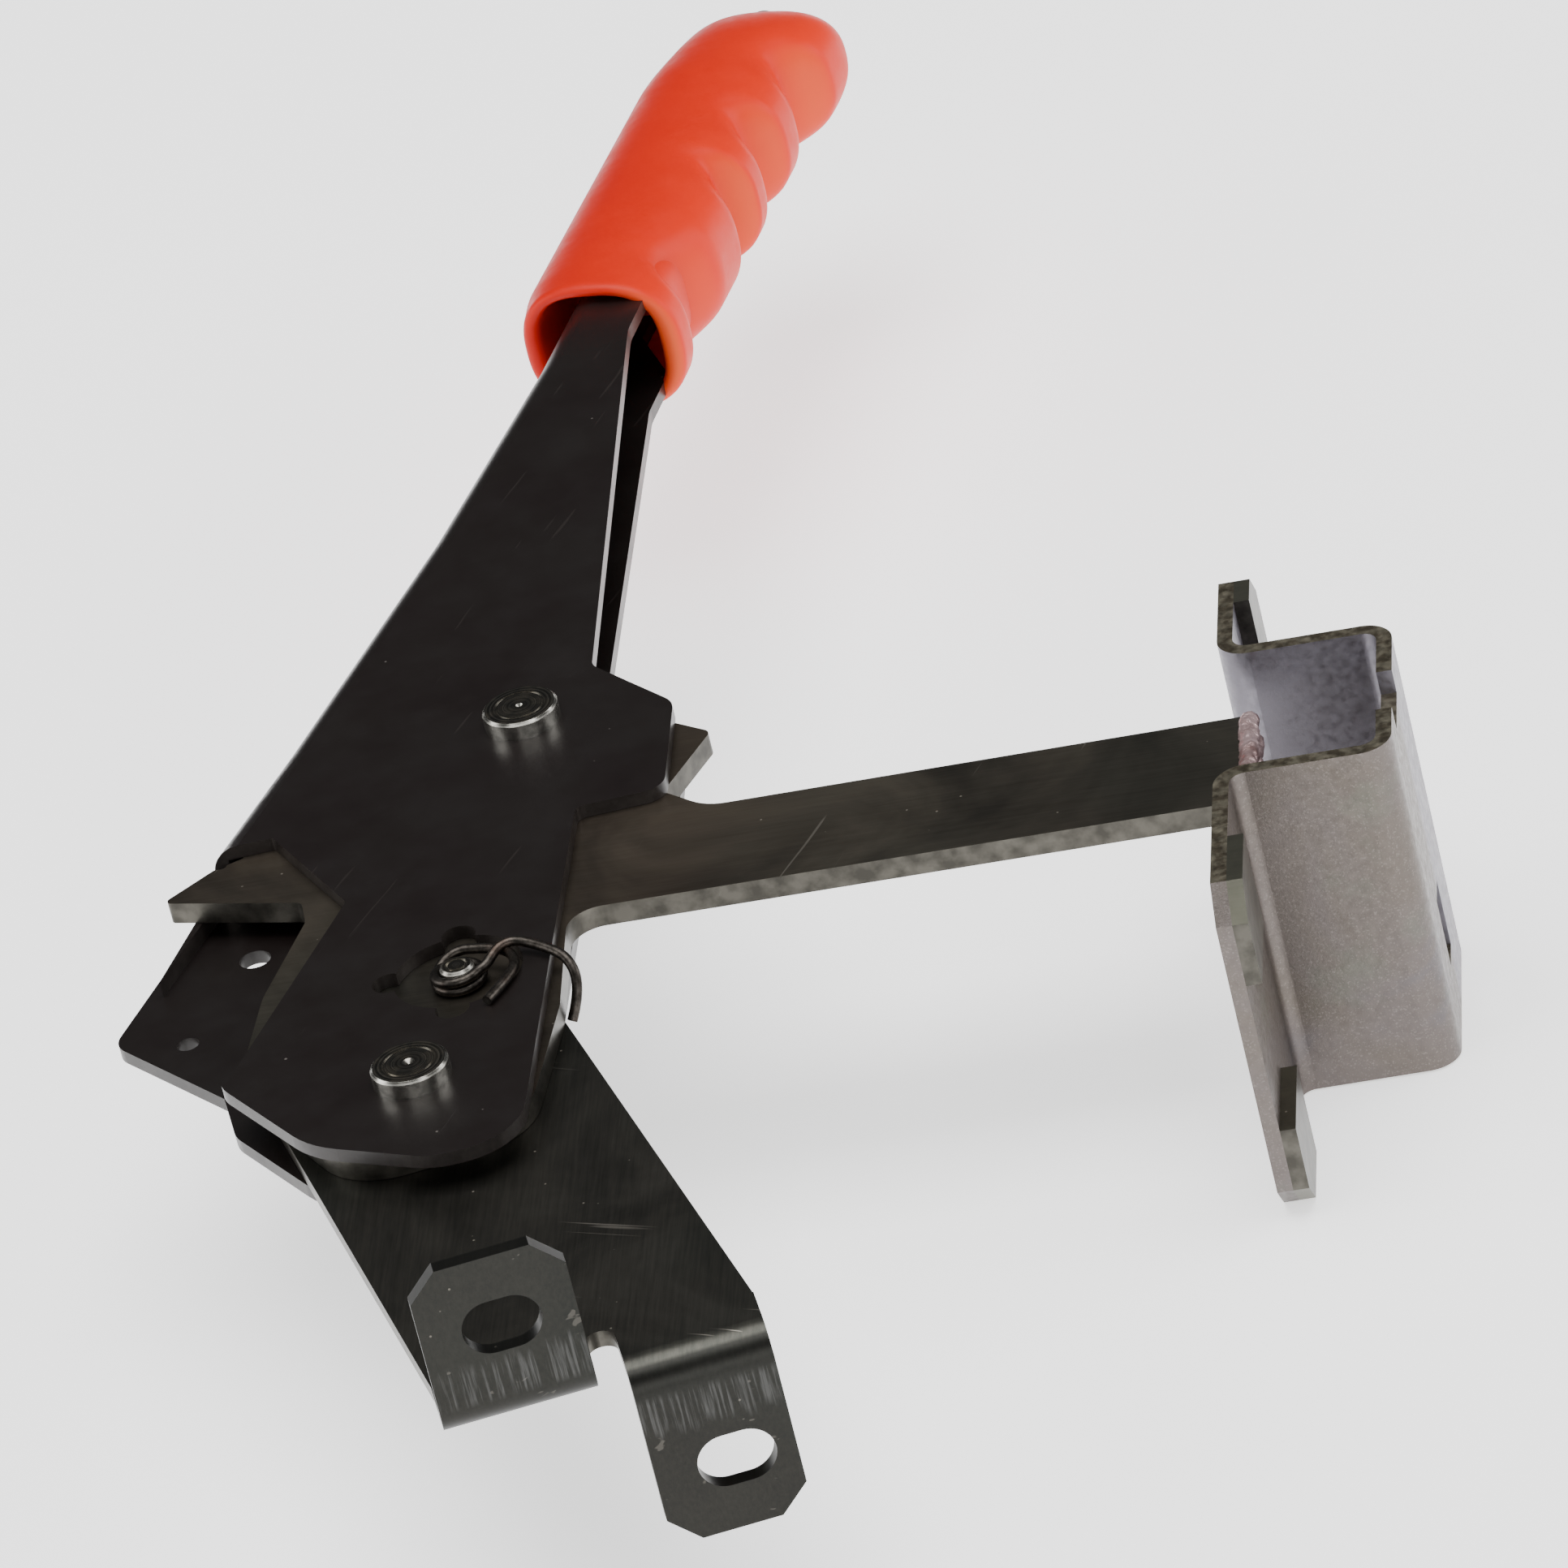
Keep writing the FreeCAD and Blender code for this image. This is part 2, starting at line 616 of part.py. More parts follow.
PLUG_R = 3.5
PLUG_SHOULDER_T = 378.0
PLUG_BALL_R = 3.6
PLUG_DEPTH = 20.0


def signed_power(value, power):
    return math.copysign(abs(value) ** power, value)


def grip_section(t, back, front, half):
    """A rounded oval wire across the grip."""
    middle_n = (back + front) / 2
    reach = (front - back) / 2
    power = 2 / GRIP_SQUARENESS
    points = []
    for i in range(GRIP_SECTION_POINTS):
        angle = 2 * math.pi * i / GRIP_SECTION_POINTS
        n = middle_n + reach * signed_power(math.cos(angle), power)
        points.append(grip_point(t, n, half * signed_power(math.sin(angle), power)))
    oval = Part.BSplineCurve()
    oval.interpolate(points, PeriodicFlag=True)
    return Part.Wire(oval.toShape())


def tongue_space():
    """The pocket that the lever's end fills, with a little room round it."""
    c = FIT_CLEARANCE
    half = CHANNEL_HALF_GAP_GRIP + LEVER_SHEET + c
    corners = [
        tongue_corner(GRIP_MOUTH_T - 8, -46.2 - c),
        tongue_corner(TONGUE_END_T + c, -47.1 - c),
        tongue_corner(TONGUE_END_T + c, TONGUE_FRONT_N + c),
        tongue_corner(TONGUE_START_T + 14, TONGUE_FRONT_N + c),
        tongue_corner(TONGUE_START_T, -31.0 + 2 * c),
        tongue_corner(GRIP_MOUTH_T - 8, -30.9 + 2 * c),
    ]
    return plate(corners, -half, half)


def handle_grip():
    sections = [grip_section(*station) for station in GRIP_STATIONS]
    grip = Part.makeLoft(sections, True, False)
    grip = grip.cut(tongue_space())
    return grip.cut(plug_core(PLUG_R, PLUG_SHOULDER_T - PLUG_DEPTH, PLUG_SHOULDER_T))


def plug_core(radius, t_low, t_high):
    start = grip_point(t_low, PLUG_N)
    along = grip_point(t_high, PLUG_N) - start
    return Part.makeCylinder(radius, along.Length, start, along)


def grip_end_plug():
    """A round-headed plug in the end of the grip."""
    stem = plug_core(PLUG_R, PLUG_SHOULDER_T - PLUG_DEPTH, PLUG_SHOULDER_T)
    sink = math.sqrt(PLUG_BALL_R**2 - PLUG_R**2)
    ball = Part.makeSphere(PLUG_BALL_R, grip_point(PLUG_SHOULDER_T - sink, PLUG_N))
    cap = ball.common(plug_core(PLUG_BALL_R, PLUG_SHOULDER_T, PLUG_SHOULDER_T + PLUG_BALL_R))
    return stem.fuse(cap).removeSplitter()


# ---- assembly ---------------------------------------------------------------------------
def all_parts():
    hat = hat_bracket()
    arm = arm_plate()
    far_washer_z = -FLANGE_OUT_Z - WASHER_T
    parts = {
        "mounting_bracket": mounting_bracket(),
        "lever_channel": lever_channel(),
        "arm_plate": arm,
        "hat_bracket": hat,
        "arm_weld_beads": weld_bead(arm, hat),
        "pivot_rivet": rivet(0, 0, 1.2),
        "upper_rivet": rivet(*UPPER_RIVET, 0.7),
        "pivot_bush": ring(0, 0, BUSH_R, RIVET_R, -CHANNEL_HALF_GAP, ARM_BOTTOM_Z),
        "upper_spacer": ring(*UPPER_RIVET, 8.0, RIVET_R, -CHANNEL_HALF_GAP, ARM_BOTTOM_Z),
        "pivot_washer": ring(0, 0, WASHER_R, RIVET_R, far_washer_z, -FLANGE_OUT_Z),
        "upper_washer": ring(*UPPER_RIVET, WASHER_R, RIVET_R, far_washer_z, -FLANGE_OUT_Z),
        "spring_pin": spring_pin(),
        "torsion_spring": torsion_spring(),
        "handle_grip": handle_grip(),
        "grip_end_plug": grip_end_plug(),
    }
    for upper, level in ((True, "upper"), (False, "lower")):
        for near, side in ((True, "near"), (False, "far")):
            parts[f"{level}_{side}_pad"] = pad(upper, near)
    return parts


PARTS = all_parts()
whole = Part.makeCompound(list(PARTS.values())).optimalBoundingBox(False)
ORIGIN_X = round((whole.XMin + whole.XMax) / 2, 2)
ORIGIN_Y = round((whole.YMin + whole.YMax) / 2, 2)
ORIGIN_Z = round(whole.ZMin, 2)
print("pivot axis is at", -ORIGIN_X, -ORIGIN_Y, "and the middle plane at z", -ORIGIN_Z)
print("box", whole)
for name, shape in PARTS.items():
    shape.translate(V(-ORIGIN_X, -ORIGIN_Y, -ORIGIN_Z))
    print(f"{name:18s} solids {len(shape.Solids)} valid {shape.isValid()} mm3 {shape.Volume:9.0f}")
    shape.exportStep(f"parts/{name}.step")
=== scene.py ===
"""The look of the hand lever: materials, the moulded grip, the wire spring, floor, light and camera.

Lengths are in millimetres about the pivot, as the model is designed, and at() turns them into
metres in the frame. The lever lies on its side: X and Y are in the plane of its plates.
"""

import json
import math

import bmesh
import bpy
from mathutils import Matrix, Vector, noise


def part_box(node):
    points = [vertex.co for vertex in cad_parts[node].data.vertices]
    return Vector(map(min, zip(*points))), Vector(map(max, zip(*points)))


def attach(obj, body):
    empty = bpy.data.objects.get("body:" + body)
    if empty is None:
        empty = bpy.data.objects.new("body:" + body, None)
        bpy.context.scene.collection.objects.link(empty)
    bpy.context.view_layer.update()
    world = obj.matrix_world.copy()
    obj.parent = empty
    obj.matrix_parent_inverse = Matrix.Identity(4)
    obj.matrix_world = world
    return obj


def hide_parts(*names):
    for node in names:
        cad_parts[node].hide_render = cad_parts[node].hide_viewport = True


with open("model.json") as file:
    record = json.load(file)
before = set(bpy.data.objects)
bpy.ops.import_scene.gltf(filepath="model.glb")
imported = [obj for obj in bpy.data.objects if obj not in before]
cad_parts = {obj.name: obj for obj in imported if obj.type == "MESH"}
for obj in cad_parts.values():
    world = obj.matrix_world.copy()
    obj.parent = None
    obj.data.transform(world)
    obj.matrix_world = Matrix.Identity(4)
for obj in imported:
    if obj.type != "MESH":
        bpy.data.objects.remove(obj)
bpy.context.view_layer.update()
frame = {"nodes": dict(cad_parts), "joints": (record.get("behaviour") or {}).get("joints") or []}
NODES = frame["nodes"]
PIVOT = Vector(frame["joints"][0]["pos_m"])
MM = 0.001

# ---- driving dimensions, mm --------------------------------------------------------------
GRIP_TILT = math.radians(26.1)
ARM_SLOPE = math.radians(-13.3)
BASE_Y = -98.5
HAT_MIDDLE_W = 70.0
PIN = Vector((12.8, 30.0))
WIRE_R = 0.9
COIL_R = 4.1
FLANGE_TOP_Z = 6.125
ARM_TOP_Z = 3.575
BRACKET_GRAIN = math.radians(-104)  # the way its rolling grain runs

# ---- zinc colours, lit and shaded --------------------------------------------------------
ARM_LIGHT = (0.130, 0.105, 0.078)
ARM_DARK = (0.060, 0.046, 0.036)
BRACKET_LIGHT = (0.052, 0.050, 0.043)
BRACKET_DARK = (0.026, 0.026, 0.023)
PAD_LIGHT = (0.17, 0.165, 0.125)
PAD_DARK = (0.09, 0.085, 0.066)


def at(x, y, z=0.0):
    """A point given in mm about the pivot, in metres in the frame."""
    return PIVOT + Vector((x, y, z)) * MM


def grip_at(t, n, z=0.0):
    """A point t along the grip and n across it, in metres in the frame."""
    x = n * math.cos(GRIP_TILT) + t * math.sin(GRIP_TILT)
    y = -n * math.sin(GRIP_TILT) + t * math.cos(GRIP_TILT)
    return at(x, y, z)


def smooth(value, low, high):
    """0 below low, 1 above high, and an even rise between."""
    share = min(max((value - low) / (high - low), 0.0), 1.0)
    return share * share * (3 - 2 * share)


# ---- node helpers ------------------------------------------------------------------------
class Shader:
    """A material's node tree, with a short call for each kind of node."""

    def __init__(self, name, **sockets):
        self.material = bpy.data.materials.new(name)
        self.material.use_nodes = True
        self.nodes = self.material.node_tree.nodes
        self.links = self.material.node_tree.links
        self.bsdf = self.nodes["Principled BSDF"]
        for socket, value in sockets.items():
            self.bsdf.inputs[socket.replace("_", " ")].default_value = value
        coordinates = self.nodes.new("ShaderNodeTexCoord")
        self.place = coordinates.outputs["Object"]
        self.normal = coordinates.outputs["Normal"]

    def plug(self, socket, value):
        if isinstance(value, bpy.types.NodeSocket):
            self.links.new(value, socket)
        else:
            socket.default_value = value

    def stretched(self, scale, turn=0.0):
        """Object coordinates turned about Z, then scaled along each axis."""
        turned = self.nodes.new("ShaderNodeMapping")
        turned.inputs["Rotation"].default_value = (0, 0, -turn)
        self.links.new(self.place, turned.inputs["Vector"])
        scaled = self.nodes.new("ShaderNodeMapping")
        scaled.inputs["Scale"].default_value = scale
        self.links.new(turned.outputs[0], scaled.inputs["Vector"])
        return scaled.outputs[0]

    def noise(self, scale, detail=3.0, rough=0.5, where=None, distortion=0.0):
        node = self.nodes.new("ShaderNodeTexNoise")
        self.links.new(where or self.place, node.inputs["Vector"])
        node.inputs["Scale"].default_value = scale
        node.inputs["Detail"].default_value = detail
        node.inputs["Roughness"].default_value = rough
        node.inputs["Distortion"].default_value = distortion
        return node.outputs["Fac"]

    def cells(self, scale, output="Distance", where=None):
        node = self.nodes.new("ShaderNodeTexVoronoi")
        self.links.new(where or self.place, node.inputs["Vector"])
        node.inputs["Scale"].default_value = scale
        return node.outputs[output]

    def math(self, kind, a, b=0.0, clamp=False):
        node = self.nodes.new("ShaderNodeMath")
        node.operation = kind
        node.use_clamp = clamp
        self.plug(node.inputs[0], a)
        self.plug(node.inputs[1], b)
        return node.outputs[0]

    def span(self, value, low, high, to_low=0.0, to_high=1.0):
        """value mapped from low..high to to_low..to_high, clamped."""
        node = self.nodes.new("ShaderNodeMapRange")
        self.plug(node.inputs["Value"], value)
        node.inputs["From Min"].default_value = low
        node.inputs["From Max"].default_value = high
        node.inputs["To Min"].default_value = to_low
        node.inputs["To Max"].default_value = to_high
        return node.outputs[0]

    def mix(self, share, a, b):
        """Colour a where share is 0 and b where it is 1."""
        node = self.nodes.new("ShaderNodeMix")
        node.data_type = "RGBA"
        self.plug(node.inputs[0], share)
        for socket, value in ((node.inputs[6], a), (node.inputs[7], b)):
            if isinstance(value, tuple):
                value = value + (1.0,)
            self.plug(socket, value)
        return node.outputs[2]

    def axis(self, vector, index):
        node = self.nodes.new("ShaderNodeSeparateXYZ")
        self.links.new(vector, node.inputs[0])
        return node.outputs[index]

    def along(self, vector, direction):
        """How far a vector reaches in a direction."""
        node = self.nodes.new("ShaderNodeVectorMath")
        node.operation = "DOT_PRODUCT"
        self.links.new(vector, node.inputs[0])
        node.inputs[1].default_value = direction
        return node.outputs["Value"]

    def bump(self, height, strength, distance, under=None):
        node = self.nodes.new("ShaderNodeBump")
        node.inputs["Strength"].default_value = strength
        node.inputs["Distance"].default_value = distance
        self.plug(node.inputs["Height"], height)
        if under:
            self.links.new(under, node.inputs["Normal"])
        return node.outputs[0]

    def set(self, **sockets):
        for socket, value in sockets.items():
            self.plug(self.bsdf.inputs[socket.replace("_", " ")], value)
        return self.material


def specks(shader, scale, size, share):
    """Scattered dots: 1 on a dot. share is how many of the cells hold one."""
    near = shader.span(shader.cells(scale), size, size * 0.6)
    chosen = shader.cells(scale, "Color")
    pick = shader.span(shader.axis(chosen, 0), 1 - share, 1 - share + 0.01)
    return shader.math("MULTIPLY", near, pick)


def scratches(shader, turn, scale, line_width_and_flank_highlight):
    """Fine lines running along one direction: 1 on a line."""
    where = shader.stretched((scale * 0.045, scale, scale), turn)
    field = shader.noise(1.0, 2.0, 0.6, where, 0.3)
    return shader.span(field, line_width_and_flank_highlight, line_width_and_flank_highlight + 0.03)


def edge_share(shader, lowest_y_of_plate):
    """1 on the cut edges of the plates, which don't face along Z, and 0 on their faces."""
    up = shader.math("ABSOLUTE", shader.axis(shader.normal, 2))
    edge = shader.span(up, 0.6, 0.5)
    if lowest_y_of_plate is None:
        return edge
    beyond = shader.span(shader.axis(shader.place, 1), *lowest_y_of_plate)
    return shader.math("MULTIPLY", edge, beyond)


# ---- materials ---------------------------------------------------------------------------
def black_paint():
    s = Shader("black_paint", Coat_Weight=0.14, Coat_Roughness=0.26, Specular_IOR_Level=0.32, IOR=1.5)
    tone = s.noise(34.0, 4.0, 0.6)
    base = s.mix(s.span(tone, 0.35, 0.65), (0.0060, 0.0036, 0.0033), (0.0075, 0.0055, 0.0048))
    dust = specks(s, 240.0, 0.075, 0.14)
    base = s.mix(s.math("MULTIPLY", dust, 0.30), base, (0.30, 0.27, 0.25))
    fine = scratches(s, math.radians(55), 700.0, 0.70)
    base = s.mix(s.math("MULTIPLY", fine, 0.04), base, (0.20, 0.17, 0.15))
    # The cut edges are painted lighter than the faces, in a mottled tone: a painted highlight along the
    # rims.
    edge = edge_share(s, None)
    rim_highlight_tone = s.span(s.noise(160.0, 4.0, 0.7), 0.42, 0.66)
    rim = s.mix(rim_highlight_tone, (0.014, 0.011, 0.010), (0.026, 0.022, 0.020))
    base = s.mix(edge, base, rim)
    rough = s.span(s.noise(90.0, 5.0, 0.65), 0.3, 0.7, 0.30, 0.42)
    peel = s.bump(s.noise(520.0, 2.0, 0.5), 0.10, 0.00012)
    peel = s.bump(s.math("ADD", dust, fine), 0.25, 0.00005, peel)
    return s.set(Base_Color=base, Roughness=rough, Normal=peel)


def zinc(name, turn, light, dark, tabs=False):
    """Dull zinc on pressed steel: blotches, rolling grain along one direction, pits and scratches."""
    s = Shader(name, Metallic=0.92)
    blotch = s.noise(26.0, 5.0, 0.62, distortion=0.6)
    base = s.mix(s.span(blotch, 0.34, 0.66), dark, light)
    tint = s.span(s.noise(11.0, 2.0, 0.5), 0.42, 0.62)
    base = s.mix(s.math("MULTIPLY", tint, 0.45), base, (0.055, 0.068, 0.058))
    grain = s.noise(1.0, 4.0, 0.7, s.stretched((60.0, 1500.0, 900.0), turn))
    base = s.mix(s.span(grain, 0.30, 0.75, 0.0, 0.16), base, (0.22, 0.20, 0.17))
    pits = specks(s, 420.0, 0.11, 0.10)
    base = s.mix(s.math("MULTIPLY", pits, 0.7), base, (0.55, 0.50, 0.42))
    marks = scratches(s, turn + 1.2, 420.0, 0.70)
    base = s.mix(s.math("MULTIPLY", marks, 0.35), base, (0.50, 0.46, 0.40))
    plate_y = None
    streaks = None
    if tabs:
        bend_y = (PIVOT.y + BASE_Y * MM)
        plate_y = (bend_y + 3.0 * MM, bend_y + 3.4 * MM)
        # The tab faces below the bend are painted near black: painted shade.
        tab = s.span(s.axis(s.place, 1), bend_y + 3.2 * MM, bend_y + 2.6 * MM, 0.0, 0.75)
        base = s.mix(tab, base, (0.013, 0.013, 0.012))
        streaks = forming_streaks(s)
        base = s.mix(streaks, base, (0.62, 0.62, 0.62))
    edge = edge_share(s, plate_y)
    cut = s.mix(s.span(s.noise(300.0, 3.0), 0.35, 0.65), (0.050, 0.047, 0.040), (0.100, 0.094, 0.080))
    base = s.mix(edge, base, cut)
    rough = s.span(blotch, 0.3, 0.7, 0.30, 0.42)
    if streaks:
        rough = s.math("SUBTRACT", rough, s.math("MULTIPLY", streaks, 0.08))
    relief = s.bump(grain, 0.16, 0.00006)
    relief = s.bump(s.math("SUBTRACT", pits, marks), 0.35, 0.00005, relief)
    return s.set(Base_Color=base, Roughness=rough, Normal=relief)


def forming_streaks(s):
    """The short drawn lines that the press left beside each tab's bend."""
    from_plate = s.math("ABSOLUTE", s.math("SUBTRACT", s.axis(s.place, 2), PIVOT.z - 2.0 * MM))
    ragged = s.math("MULTIPLY", s.noise(1.0, 2.0, 0.5, s.stretched((900.0, 1.0, 40.0))), 6.0 * MM)
    reach = s.math("ADD", from_plate, ragged)
    begin = s.span(from_plate, 3.6 * MM, 5.0 * MM)
    end = s.span(reach, 15.0 * MM, 13.0 * MM)
    lines = s.span(s.noise(1.0, 3.0, 0.7, s.stretched((1500.0, 1.0, 60.0))), 0.47, 0.62)
    low = s.span(s.axis(s.place, 1), PIVOT.y + (BASE_Y + 3.4) * MM, PIVOT.y + (BASE_Y + 3.1) * MM)
    share = s.math("MULTIPLY", s.math("MULTIPLY", begin, end), s.math("MULTIPLY", lines, low))
    return s.math("MULTIPLY", share, 0.06)


def hat_zinc():
    """Fine sparkling zinc with a faint green and blue cast, smoother inside the saddle."""
    s = Shader("hat_zinc", Metallic=0.9)
    height = s.along(s.place, (-math.sin(ARM_SLOPE), math.cos(ARM_SLOPE), 0.0))
    middle = PIVOT.x * -math.sin(ARM_SLOPE) + PIVOT.y * math.cos(ARM_SLOPE) + HAT_MIDDLE_W * MM
    upper = s.span(height, middle - 2 * MM, middle + 2 * MM)
    cast = s.noise(30.0, 3.0, 0.6, distortion=0.8)
    base = s.mix(s.span(cast, 0.30, 0.55), (0.132, 0.114, 0.098), (0.138, 0.120, 0.114))
    base = s.mix(s.span(cast, 0.55, 0.72, 0.0, 0.6), base, (0.120, 0.130, 0.165))
    green = s.span(s.noise(55.0, 3.0, 0.7), 0.56, 0.72, 0.0, 0.25)
    base = s.mix(green, base, (0.135, 0.165, 0.125))
    base = s.mix(s.math("MULTIPLY", upper, 0.75), base, (0.24, 0.23, 0.27))
    grains = s.cells(3800.0, "Color")
    sparkle = s.span(s.axis(grains, 0), 0.80, 1.0, 0.0, 0.13)
    calm = s.span(upper, 0.0, 1.0, 1.0, 0.35)
    base = s.mix(s.math("MULTIPLY", sparkle, calm), base, (0.48, 0.44, 0.41))
    dull = s.span(s.axis(grains, 1), 0.75, 1.0, 0.0, 0.32)
    base = s.mix(s.math("MULTIPLY", dull, calm), base, (0.16, 0.13, 0.12))
    facing_end = s.span(s.math("ABSOLUTE", s.axis(s.normal, 2)), 0.8, 0.9)
    sheared = s.mix(s.span(s.noise(500.0, 4.0), 0.4, 0.6), (0.10, 0.085, 0.060), (0.22, 0.20, 0.15))
    base = s.mix(facing_end, base, sheared)
    rough = s.span(s.noise(700.0, 2.0), 0.3, 0.7, 0.32, 0.50)
    coarse = s.noise(1300.0, 4.0, 0.75)
    relief = s.bump(s.math("MULTIPLY", coarse, calm), 0.45, 0.00011)
    return s.set(Base_Color=base, Roughness=rough, Normal=relief)


def weld_metal():
    s = Shader("weld_metal", Metallic=0.85)
    tone = s.noise(180.0, 5.0, 0.7, distortion=1.0)
    base = s.mix(s.span(tone, 0.35, 0.65), (0.30, 0.19, 0.18), (0.66, 0.50, 0.50))
    soot = s.span(s.noise(90.0, 3.0), 0.55, 0.70, 0.0, 0.6)
    base = s.mix(soot, base, (0.12, 0.10, 0.10))
    ripples = s.noise(420.0, 3.0, 0.6, distortion=1.5)
    return s.set(Base_Color=base, Roughness=0.42, Normal=s.bump(ripples, 0.6, 0.0004))


def turned_steel(name, node):
    """Steel with fine rings from the heading tool, centred on the node's own axis, with a painted
    highlight on the sides and painted shade on the flat faces.
    """
    low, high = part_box(node)
    s = Shader(name, Metallic=1.0)
    centred = s.nodes.new("ShaderNodeMapping")
    centred.inputs["Location"].default_value = (-(low[0] + high[0]) / 2, -(low[1] + high[1]) / 2, 0)
    s.links.new(s.place, centred.inputs["Vector"])
    flat = s.nodes.new("ShaderNodeVectorMath")
    flat.operation = "MULTIPLY"
    flat.inputs[1].default_value = (1, 1, 0)
    s.links.new(centred.outputs[0], flat.inputs[0])
    length = s.nodes.new("ShaderNodeVectorMath")
    length.operation = "LENGTH"
    s.links.new(flat.outputs[0], length.inputs[0])
    radius = length.outputs["Value"]
    rings = s.nodes.new("ShaderNodeTexNoise")
    rings.noise_dimensions = "1D"
    rings.inputs["Scale"].default_value = 2600.0
    rings.inputs["Detail"].default_value = 3.0
    s.links.new(radius, rings.inputs["W"])
    ring = rings.outputs["Fac"]
    # The sides are painted far lighter than the flat faces, chosen by the way each faces: painted
    # highlight on the sides, painted shade on the faces.
    face = s.span(s.axis(s.normal, 2), 0.6, 0.9)
    dark = s.mix(s.span(ring, 0.4, 0.6), (0.085, 0.080, 0.070), (0.120, 0.112, 0.098))
    stain = s.span(s.noise(400.0, 3.0), 0.45, 0.6, 0.0, 0.35)
    dark = s.mix(stain, dark, (0.30, 0.26, 0.20))
    side = s.mix(s.span(s.noise(600.0, 3.0), 0.4, 0.6), (0.45, 0.44, 0.40), (0.70, 0.68, 0.62))
    base = s.mix(face, side, dark)
    rough = s.span(ring, 0.3, 0.7, 0.20, 0.34)
    return s.set(Base_Color=base, Roughness=rough, Normal=s.bump(ring, 0.14, 0.00003))


def spring_wire():
    s = Shader("spring_wire", Metallic=1.0)
    tone = s.noise(900.0, 4.0, 0.7)
    base = s.mix(s.span(tone, 0.35, 0.65), (0.024, 0.021, 0.018), (0.070, 0.062, 0.055))
    rust = s.span(s.noise(120.0, 3.0), 0.55, 0.68, 0.0, 0.35)
    base = s.mix(rust, base, (0.090, 0.050, 0.034))
    return s.set(Base_Color=base, Roughness=0.40, Normal=s.bump(tone, 0.2, 0.00004))


def grip_vinyl():
    """Satin moulded vinyl, redder on the palm side and lighter towards the fingers as painted light, with
    a painted highlight making the fingers' mouthward flanks paler.
    """
    s = Shader(
        "grip_vinyl",
        Subsurface_Weight=0.12,
        Subsurface_Radius=(1.0, 0.28, 0.10),
        Subsurface_Scale=0.006,
        Specular_IOR_Level=0.18,
    )
    across = s.along(s.place, (math.cos(GRIP_TILT), -math.sin(GRIP_TILT), 0.0))
    axis_n = PIVOT.x * math.cos(GRIP_TILT) - PIVOT.y * math.sin(GRIP_TILT)
    # The colour runs lighter towards the fingers' side and darker on the palm side: painted light. The
    # mottling on top is random tone.
    fingers = s.span(across, axis_n - 50 * MM, axis_n - 27 * MM)
    mottled = s.span(s.noise(70.0, 4.0, 0.6), 0.35, 0.65, -0.10, 0.10)
    share = s.math("ADD", fingers, mottled, clamp=True)
    base = s.mix(share, (0.52, 0.007, 0.0), (0.68, 0.018, 0.0))
    # The finger grooves' flanks that face the mouth are painted pale: a painted highlight.
    towards_mouth = s.along(s.normal, (-math.sin(GRIP_TILT), -math.cos(GRIP_TILT), 0.0))
    line_width_and_flank_highlight = s.math("MULTIPLY", s.span(towards_mouth, 0.35, 0.95), s.span(fingers, 0.55, 1.0))
    base = s.mix(s.math("MULTIPLY", line_width_and_flank_highlight, 0.38), base, (0.92, 0.22, 0.06))
    dirt = specks(s, 300.0, 0.08, 0.04)
    base = s.mix(s.math("MULTIPLY", dirt, 0.4), base, (0.25, 0.03, 0.02))
    rough = s.span(s.noise(260.0, 4.0, 0.6), 0.3, 0.7, 0.36, 0.50)
    skin = s.bump(s.noise(1500.0, 3.0, 0.6), 0.16, 0.00010)
    return s.set(Base_Color=base, Roughness=rough, Normal=skin)


def pale_floor():
    s = Shader("pale_floor", Roughness=0.9, Emission_Strength=1.1)
    tone = s.span(s.noise(3.0, 2.0), 0.3, 0.7)
    base = s.mix(tone, (0.90, 0.90, 0.905), (0.92, 0.92, 0.92))
    return s.set(Base_Color=base)


# ---- the moulded grip --------------------------------------------------------------------
MOUTH_T = 254.5
NOSE_T = 360.0
END_T = 374.2
THINNING_T = 352.0  # from here the thickness rounds off
RIDGES = (260.0, 293.5, 312.5, 335.5, NOSE_T)
NOTCHES = (268.5, 304.0, 322.5, 345.5)
RIDGE_N = -25.6
NOSE_N = -22.6
END_N = -42.0
GROOVE_DEPTH = 6.0
BACK_N = -57.5
HALF_THICKNESS = 13.6
MOUTH_HOLE = (-53.0, -30.0, 11.0)
RIM_R = 2.2
HOLE_DEPTH = 26.0
AROUND = 96


def groove(t):
    """How deep the finger grooves are at t, 0 on a ridge and 1 in a notch."""
    for ridge, notch, following in zip(RIDGES, NOTCHES, RIDGES[1:]):
        if ridge <= t <= following:
            if t < notch:
                return smooth(t, ridge, notch + 1.0) ** 1.15
            return 1 - smooth(t, notch + 0.5, notch + (following - notch) * 0.62)
    return 0.0


def end_scale(t, start, power):
    """Shrinks the sections over the rounded nose: 1 up to start, 0 at its very end."""
    share = min(max((t - start) / (END_T - start), 0.0), 1.0)
    return math.sqrt(max(1 - share**power, 0.0))


